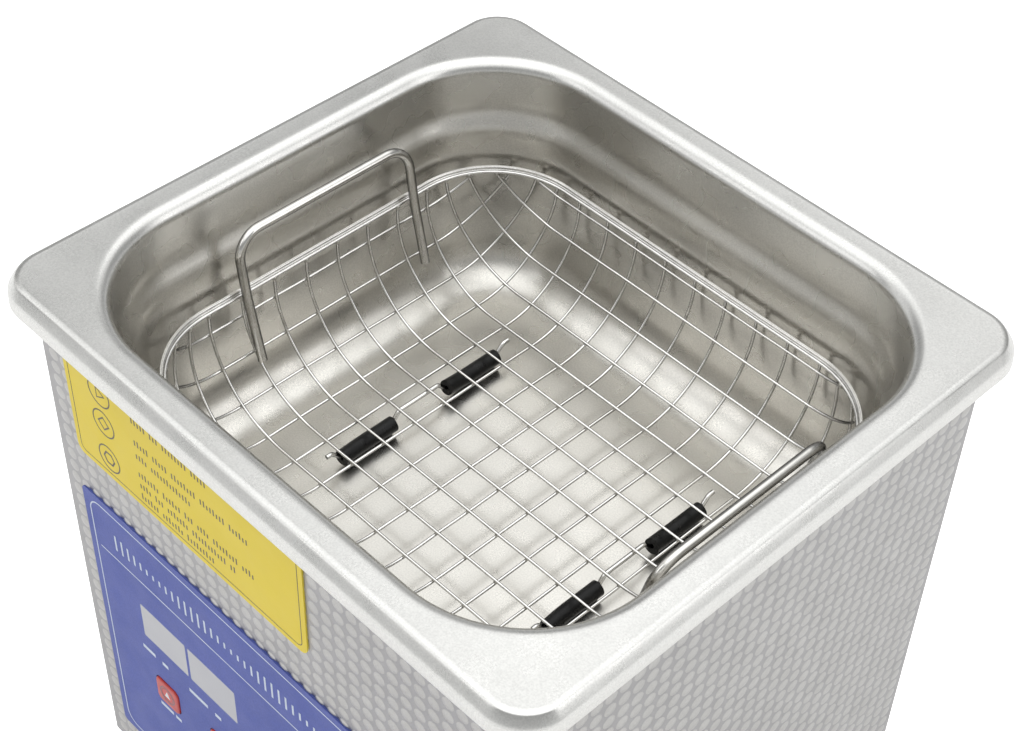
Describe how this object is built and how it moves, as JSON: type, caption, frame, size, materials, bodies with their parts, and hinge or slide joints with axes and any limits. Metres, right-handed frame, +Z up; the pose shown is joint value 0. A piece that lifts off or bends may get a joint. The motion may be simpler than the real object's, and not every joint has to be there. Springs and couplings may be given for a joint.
{
  "type": "ultrasonic cleaner",
  "caption": "Benchtop ultrasonic cleaner: square steel tank in an embossed case with a wire basket, digital front panel, mains inlet and rocker switch.",
  "frame": {"origin": "centre of the footprint, on the surface the four feet stand on", "axes": "+Z up, -Y towards the control panel, +X to the user's right when facing the panel"},
  "size_m": [0.176, 0.1622, 0.1874],
  "materials": {
    "tank_steel": "satin, drawn sheet",
    "embossed_steel": "embossed satin sheet",
    "rubber": "matt black",
    "silicone": "matt translucent white",
    "plated_steel": "bright zinc plate",
    "base_steel": "plain steel sheet",
    "panel_blue": "matt printed film",
    "label_yellow": "matt printed film",
    "window_grey": "pale clear film",
    "display_black": "moulded black",
    "switch_plastic": "moulded black",
    "circuit_board": "green solder mask",
    "brass": "bright",
    "ferrite": "dark fired",
    "copper_winding": "enamelled copper",
    "capacitor_sleeve": "shrink sleeve",
    "film_capacitor": "dipped",
    "aluminium": "machined",
    "terminal_green": "moulded",
    "piezo_ceramic": "silvered fired",
    "transducer_steel": "turned",
    "heater_silicone": "red silicone mat",
    "wire_insulation": "plastic insulation",
    "fitting_black": "moulded black",
    "rocker_red": "moulded red",
    "fuse_glass": "clear tube",
    "basket_wire": "electropolished steel wire",
    "basket_rim": "electropolished steel",
    "handle_wire": "electropolished steel wire",
    "button_red": "moulded red"
  },
  "bodies": {
    "housing": {"tank": "tank_steel", "rim_seal": "silicone", "casing": "embossed_steel", "base_plate": "base_steel", "base_screws": "plated_steel", "rubber_feet": "rubber", "foot_screws": "plated_steel", "foot_nuts": "plated_steel", "control_panel": "panel_blue", "warning_label": "label_yellow", "lens_displays": "window_grey", "led_displays": "display_black", "tact_switches": "switch_plastic", "control_board": "circuit_board", "control_board_posts": "brass", "control_board_screws": "plated_steel", "controller_chip": "display_black", "generator_board": "circuit_board", "generator_posts": "brass", "generator_screws": "plated_steel", "transformer_core": "ferrite", "transformer_coil": "copper_winding", "smoothing_capacitors": "capacitor_sleeve", "film_capacitors": "film_capacitor", "heat_sink": "aluminium", "power_transistors": "display_black", "terminal_block": "terminal_green", "transducer_front_mass": "aluminium", "piezo_rings": "piezo_ceramic", "transducer_electrodes": "brass", "transducer_back_mass": "transducer_steel", "transducer_bolt": "plated_steel", "heater_pad": "heater_silicone", "temperature_sensor": "aluminium", "wiring": "wire_insulation", "power_inlet": "fitting_black", "inlet_pins": "brass", "inlet_screws": "plated_steel", "inlet_nuts": "plated_steel", "switch_frame": "fitting_black", "switch_terminals": "brass", "fuse_holder": "fitting_black", "fuse_cap": "fitting_black", "fuse": "fuse_glass"},
    "basket": {"basket_mesh_long": "basket_wire", "basket_mesh_front_wire": "basket_wire", "basket_mesh_cross": "basket_wire", "basket_rim_band": "basket_rim", "basket_rim_wire": "basket_rim", "handle_left": "handle_wire", "handle_right": "handle_wire", "basket_feet": "basket_wire", "foot_sleeves": "rubber"},
    "switch_rocker": {"switch_rocker": "rocker_red"},
    "button_temp_up": {"button_temp_up": "button_red"},
    "button_temp_down": {"button_temp_down": "button_red"},
    "button_time_up": {"button_time_up": "button_red"},
    "button_time_down": {"button_time_down": "button_red"},
    "button_heater": {"button_heater": "button_red"},
    "button_start": {"button_start": "button_red"}
  },
  "joints": [
    {"name": "basket_lift", "type": "slide", "parent": "housing", "child": "basket", "axis": [0, 0, 1], "range_m": [0, 0.12]},
    {"name": "power_switch", "type": "hinge", "parent": "housing", "child": "switch_rocker", "pos_m": [0.005, 0.0715, 0.048], "axis": [1, 0, 0], "range_deg": [0, 20]},
    {"name": "button_temp_up_press", "type": "slide", "parent": "housing", "child": "button_temp_up", "axis": [0, 1, 0], "range_m": [0, 0.0004], "stiffness_N_per_m": 200},
    {"name": "button_temp_down_press", "type": "slide", "parent": "housing", "child": "button_temp_down", "axis": [0, 1, 0], "range_m": [0, 0.0004], "stiffness_N_per_m": 200},
    {"name": "button_time_up_press", "type": "slide", "parent": "housing", "child": "button_time_up", "axis": [0, 1, 0], "range_m": [0, 0.0004], "stiffness_N_per_m": 200},
    {"name": "button_time_down_press", "type": "slide", "parent": "housing", "child": "button_time_down", "axis": [0, 1, 0], "range_m": [0, 0.0004], "stiffness_N_per_m": 200},
    {"name": "button_heater_press", "type": "slide", "parent": "housing", "child": "button_heater", "axis": [0, 1, 0], "range_m": [0, 0.0004], "stiffness_N_per_m": 200},
    {"name": "button_start_press", "type": "slide", "parent": "housing", "child": "button_start", "axis": [0, 1, 0], "range_m": [0, 0.0004], "stiffness_N_per_m": 200}
  ]
}
